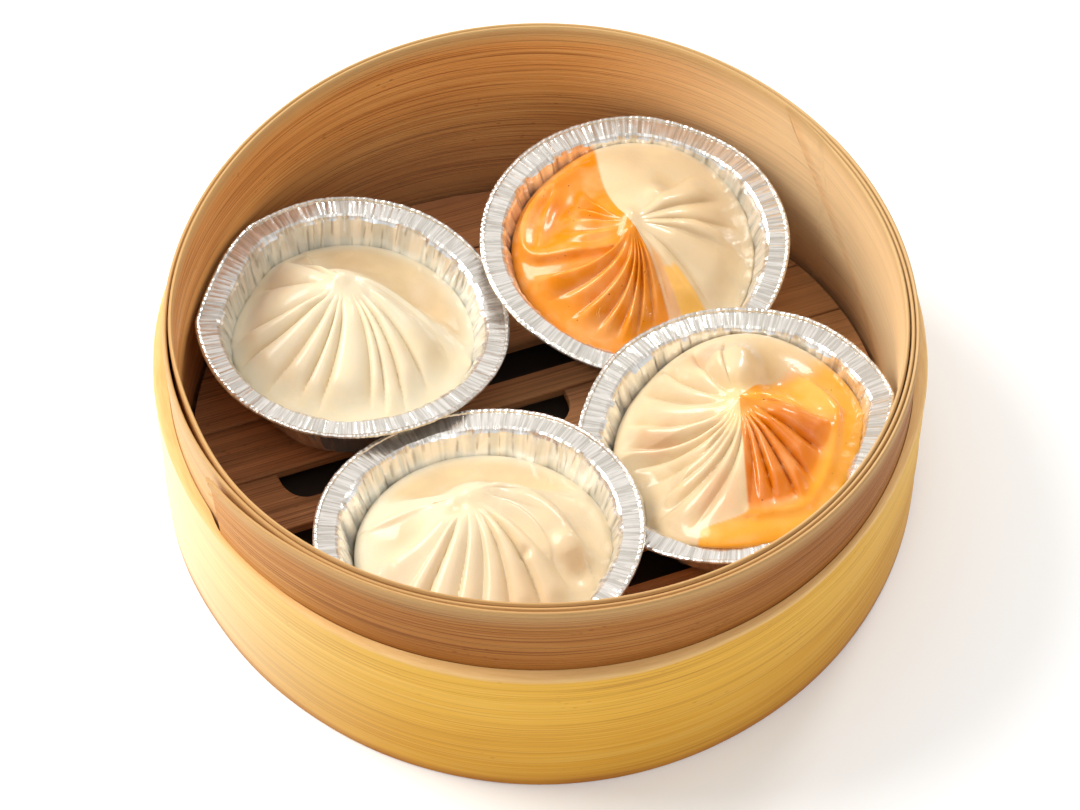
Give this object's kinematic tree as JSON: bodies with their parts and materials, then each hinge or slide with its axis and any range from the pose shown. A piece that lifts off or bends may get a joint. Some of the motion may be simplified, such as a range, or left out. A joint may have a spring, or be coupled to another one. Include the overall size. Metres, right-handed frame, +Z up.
{
  "type": "steamed soup dumplings in a steamer basket",
  "caption": "Pleated soup dumplings, each in a crimped foil cup, packed in a round bamboo steamer basket with a slatted floor; plain, without a lid",
  "frame": {"origin": "middle of the basket's footprint, on the surface that it stands on", "axes": "+Z up through the open top; -Y is the side that the picture shows in front; +X to its right"},
  "size_m": [0.203, 0.2094, 0.066],
  "materials": {
    "collar_bamboo": "bare wound bamboo strip, satin",
    "band_bamboo": "bamboo skin, smooth satin",
    "floor_bamboo": "split bamboo boards, darkened by steam",
    "foil": "crimped thin foil, bright",
    "cream_dough": "steamed dough, moist",
    "orange_dough": "steamed coloured dough, glossy"
  },
  "bodies": {
    "root": {"collar_strip": "collar_bamboo", "outer_band": "band_bamboo", "floor_ring": "floor_bamboo", "floor_board_1": "floor_bamboo", "floor_board_2": "floor_bamboo", "floor_board_3": "floor_bamboo", "floor_board_4": "floor_bamboo", "floor_board_5": "floor_bamboo", "floor_board_6": "floor_bamboo", "floor_board_7": "floor_bamboo", "floor_board_8": "floor_bamboo", "floor_board_9": "floor_bamboo", "floor_board_10": "floor_bamboo", "foil_cup_1": "foil", "foil_cup_2": "foil", "foil_cup_3": "foil", "foil_cup_4": "foil", "dumpling_1": "cream_dough", "dumpling_2": "orange_dough", "dumpling_3": "cream_dough", "dumpling_4": "orange_dough"}
  },
  "joints": []
}
